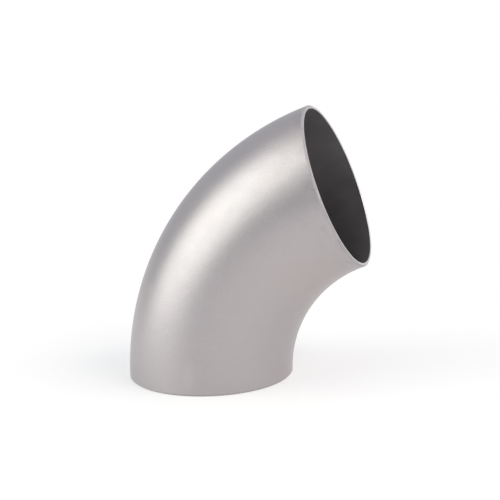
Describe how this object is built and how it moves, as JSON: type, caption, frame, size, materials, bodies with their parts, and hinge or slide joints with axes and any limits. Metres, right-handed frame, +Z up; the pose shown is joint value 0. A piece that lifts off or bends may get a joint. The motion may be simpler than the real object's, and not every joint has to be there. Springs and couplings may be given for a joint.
{
  "type": "butt weld elbow",
  "caption": "Long-radius elbow of thin stainless tube that turns a pipe run through an oblique bend, with square-faced open ends for butt welding to tube of the same size.",
  "frame": {"origin": "centre of the lower weld end, in the plane of its face", "axes": "+Z runs up the tube from the lower end, the bend turns towards +X, and the elbow is the same on both sides of the XZ plane"},
  "size_m": [0.1133, 0.076, 0.1248],
  "materials": {
    "stainless": "fine satin, bead-blasted stainless steel"
  },
  "bodies": {
    "root": {"elbow": "stainless"}
  },
  "joints": []
}
